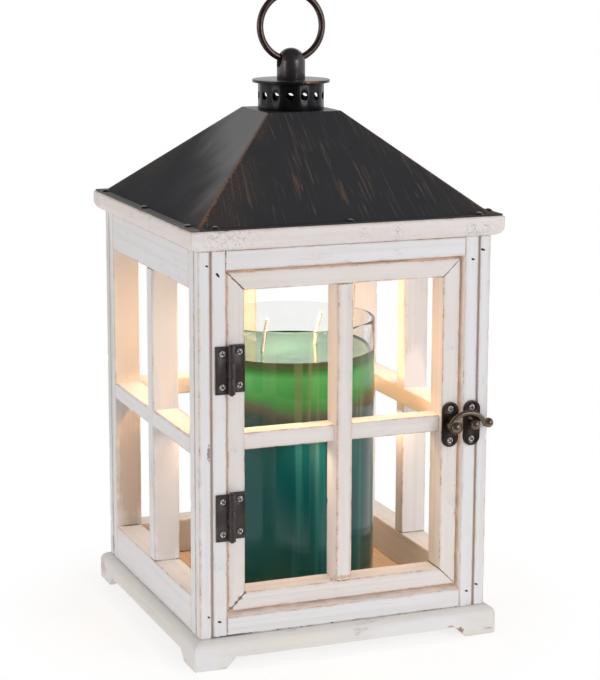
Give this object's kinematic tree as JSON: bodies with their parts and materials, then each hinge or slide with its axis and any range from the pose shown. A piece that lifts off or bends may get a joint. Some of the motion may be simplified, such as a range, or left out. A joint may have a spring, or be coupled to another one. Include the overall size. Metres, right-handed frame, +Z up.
{
  "type": "candle warmer lantern",
  "caption": "Square wooden lantern with a hinged glazed-bar door and swing-hook catch, metal vented roof with carrying ring, and a lamp above that warms a jar candle.",
  "frame": {"origin": "middle of the footprint over base and roof, on the surface that the feet stand on", "axes": "+Z up; the door is in the front, which faces -Y; +X is to the right of someone who faces the door"},
  "size_m": [0.181, 0.1836, 0.3595],
  "materials": {
    "base_wood": "white-washed, rubbed through along the edges",
    "frame_wood": "white-washed, rubbed through along the edges",
    "cornice_wood": "white-washed, finely cracked",
    "door_wood": "white-washed, dark in the mitres",
    "floor_wood": "thinly white-washed board",
    "brad_steel": "dull finishing nails",
    "screw_steel": "bright cross-head screws",
    "hinge_bronze": "dark antique bronze, rubbed on the edges",
    "latch_brass": "antique brass, rubbed on the edges",
    "roof_metal": "black with coppery brushing",
    "nail_metal": "black dome heads",
    "vent_metal": "oil-rubbed bronze paint",
    "ring_metal": "oil-rubbed bronze paint",
    "lamp_sheet": "plain folded sheet",
    "socket_ceramic": "unglazed lamp ceramic",
    "bulb_glass": "reflector bulb",
    "gland_rubber": "moulded bush",
    "jar_glass": "clear, thick",
    "candle_wax": "blue-green wax, pale and molten on top",
    "wick_cotton": "waxed braid"
  },
  "bodies": {
    "root": {"base_skirt_front": "base_wood", "base_skirt_back": "base_wood", "base_skirt_left": "base_wood", "base_skirt_right": "base_wood", "floor_board": "floor_wood", "corner_post_front_left": "frame_wood", "corner_post_front_right": "frame_wood", "corner_post_back_left": "frame_wood", "corner_post_back_right": "frame_wood", "front_top_rail": "frame_wood", "front_bottom_rail": "frame_wood", "left_top_rail": "frame_wood", "left_bottom_rail": "frame_wood", "left_upright": "frame_wood", "left_crossbar": "frame_wood", "right_top_rail": "frame_wood", "right_bottom_rail": "frame_wood", "right_upright": "frame_wood", "right_crossbar": "frame_wood", "back_top_rail": "frame_wood", "back_bottom_rail": "frame_wood", "back_upright": "frame_wood", "back_crossbar": "frame_wood", "cornice_front": "cornice_wood", "cornice_back": "cornice_wood", "cornice_left": "cornice_wood", "cornice_right": "cornice_wood", "frame_brads": "brad_steel", "frame_screws": "screw_steel", "upper_hinge_frame_leaf": "hinge_bronze", "lower_hinge_frame_leaf": "hinge_bronze", "hinge_pins": "hinge_bronze", "latch_strike": "latch_brass", "roof_hood": "roof_metal", "roof_nails": "nail_metal", "vent_collar": "vent_metal", "vent_cap": "vent_metal", "finial": "vent_metal", "ceiling_plate": "lamp_sheet", "lamp_can": "lamp_sheet", "lamp_socket": "socket_ceramic", "halogen_bulb": "bulb_glass", "cord_gland": "gland_rubber"},
    "door": {"door_stile_left": "door_wood", "door_stile_right": "door_wood", "door_rail_top": "door_wood", "door_rail_bottom": "door_wood", "door_upright": "door_wood", "door_crossbar": "door_wood", "upper_hinge_door_leaf": "hinge_bronze", "lower_hinge_door_leaf": "hinge_bronze", "door_screws": "screw_steel", "latch_plate": "latch_brass", "latch_pivot": "latch_brass"},
    "latch": {"latch_hook": "latch_brass"},
    "ring": {"carry_ring": "ring_metal"},
    "candle": {"candle_jar": "jar_glass", "candle_wax": "candle_wax", "candle_wicks": "wick_cotton"}
  },
  "joints": [
    {"name": "door_swing", "type": "hinge", "parent": "root", "child": "door", "pos_m": [-0.0672, -0.087, 0.1228], "axis": [0, 0, -1], "range_deg": [0, 170]},
    {"name": "latch_swing", "type": "hinge", "parent": "door", "child": "latch", "pos_m": [0.063, -0.0894, 0.1228], "axis": [0, -1, 0], "range_deg": [0, 120]},
    {"name": "ring_swing", "type": "hinge", "parent": "root", "child": "ring", "pos_m": [0, 0, 0.3204], "axis": [1, 0, 0], "range_deg": [-122, 122]},
    {"name": "candle_lift", "type": "slide", "parent": "root", "child": "candle", "axis": [0, 0, 1], "range_m": [0, 0.012]}
  ]
}
